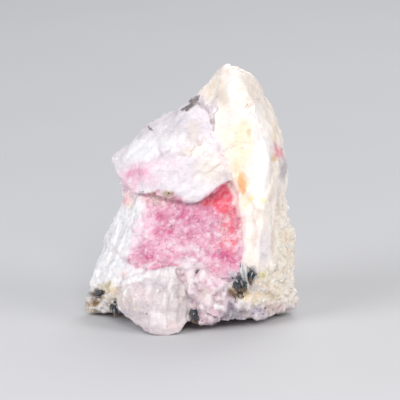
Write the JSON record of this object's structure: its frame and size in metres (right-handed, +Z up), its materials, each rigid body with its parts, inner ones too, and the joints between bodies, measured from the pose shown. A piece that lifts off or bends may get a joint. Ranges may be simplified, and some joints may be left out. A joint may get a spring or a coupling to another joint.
{
  "type": "tugtupite specimen",
  "caption": "Broken hand specimen of pale spar and analcime with a bed of pink tugtupite in its display face and black aegirine crystals, standing on its flat base.",
  "frame": {"origin": "middle of the stone's footprint, on the surface it rests on", "axes": "+Z up along the stone's height, -Y towards someone looking at the display face, +X to that person's right"},
  "size_m": [0.0442, 0.0334, 0.0518],
  "materials": {
    "stone": "broken milky feldspar and analcime, white to cream, with a sugary pink tugtupite bed and yellow-brown stains",
    "aegirine": "glossy black prismatic crystals"
  },
  "bodies": {
    "root": {"tugtupite_stone": "stone"}
  },
  "joints": []
}
